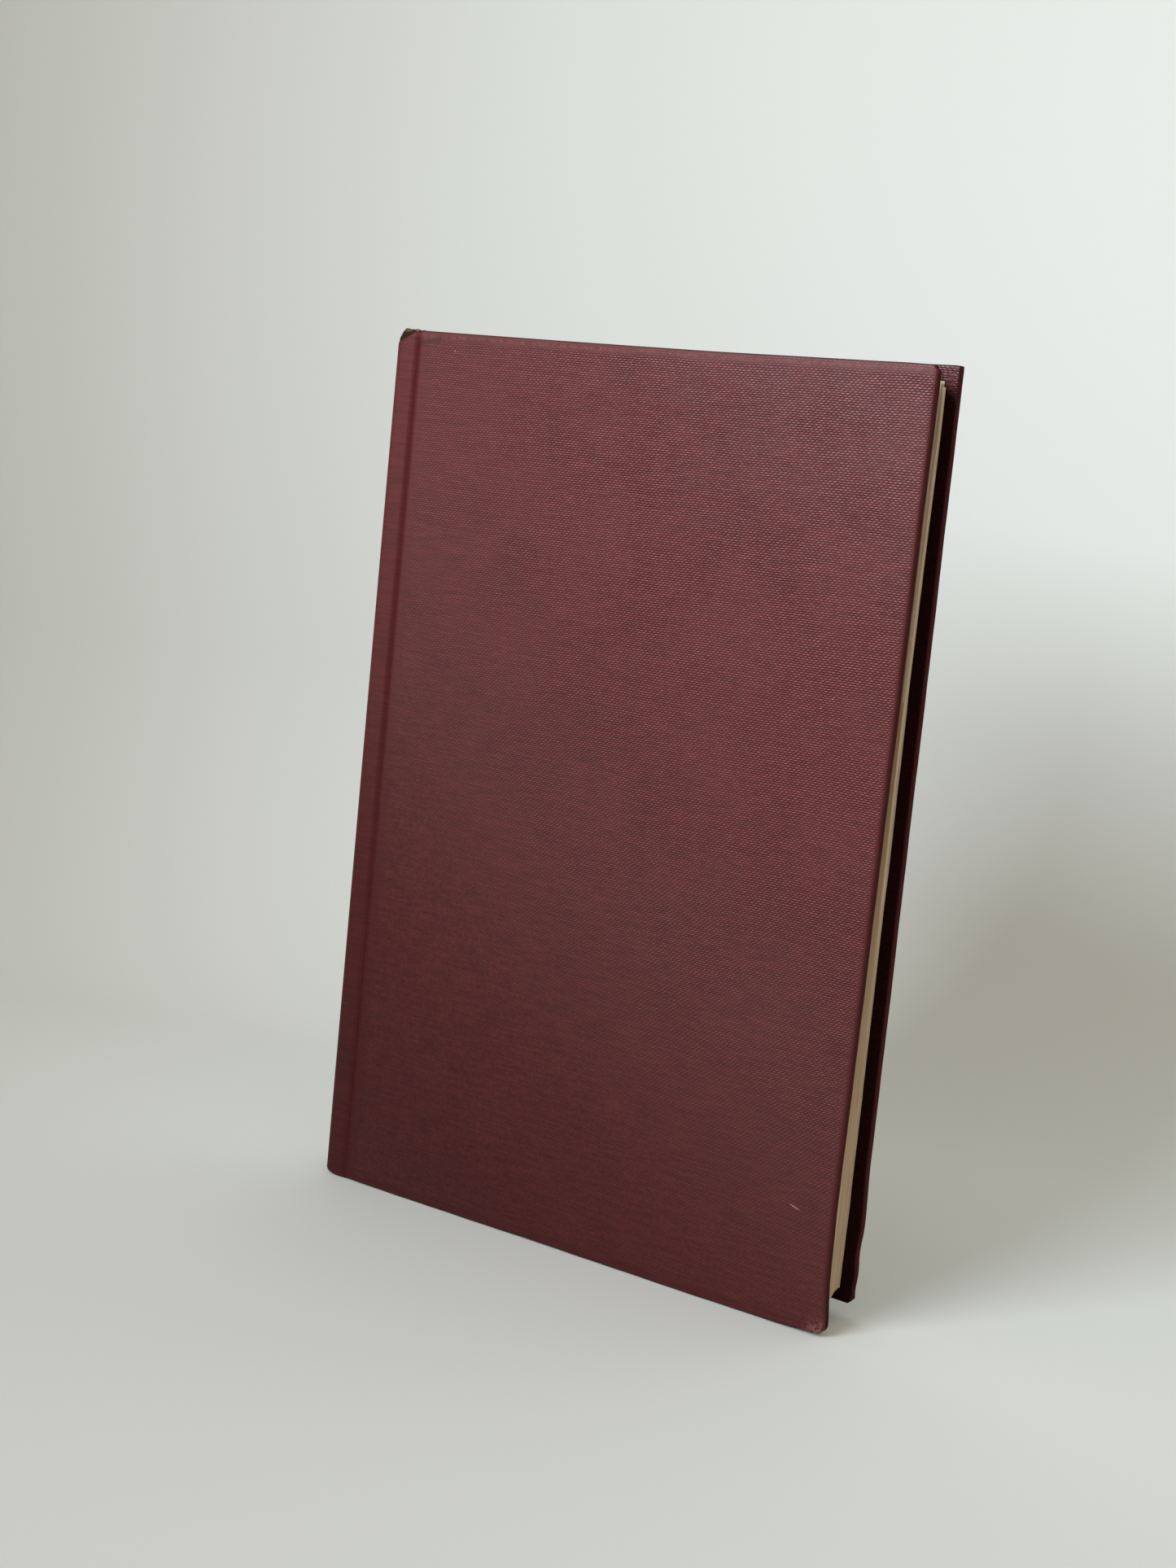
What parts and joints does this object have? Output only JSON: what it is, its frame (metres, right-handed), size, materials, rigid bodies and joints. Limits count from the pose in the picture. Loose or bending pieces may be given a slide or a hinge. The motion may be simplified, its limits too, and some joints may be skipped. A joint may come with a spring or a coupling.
{
  "type": "hardback book",
  "caption": "Case-bound hardback book in plain maroon cloth, closed and upright, with covers that swing on their joints.",
  "frame": {"origin": "middle of the underside, on the surface that the tail edges of the covers stand on", "axes": "+X from the spine to the fore edge, +Y from the front cover to the back cover, +Z from tail to head"},
  "size_m": [0.146, 0.0156, 0.216],
  "materials": {
    "cloth": "matt maroon book cloth with a linen grain",
    "board": "grey-brown millboard",
    "leaves": "toned uncoated book paper, cut edges",
    "endpaper": "plain off-white endpaper",
    "gauze": "starched cotton gauze",
    "band": "plain woven cotton band",
    "card": "brown kraft card and paper"
  },
  "bodies": {
    "book_block": {"text_block": "leaves", "front_flyleaf": "endpaper", "back_flyleaf": "endpaper", "head_band": "band", "tail_band": "band", "spine_gauze": "gauze", "spine_lining": "card", "spine_inlay": "card", "spine_cloth": "cloth"},
    "front_cover": {"front_board": "board", "front_cloth": "cloth", "front_pastedown": "endpaper"},
    "back_cover": {"back_board": "board", "back_cloth": "cloth", "back_pastedown": "endpaper"}
  },
  "joints": [
    {"name": "front_hinge", "type": "hinge", "parent": "book_block", "child": "front_cover", "pos_m": [-0.0651, -0.00785, 0.108], "axis": [0, 0, -1], "range_deg": [0, 180]},
    {"name": "back_hinge", "type": "hinge", "parent": "book_block", "child": "back_cover", "pos_m": [-0.0651, 0.00785, 0.108], "axis": [0, 0, 1], "range_deg": [0, 180]}
  ]
}
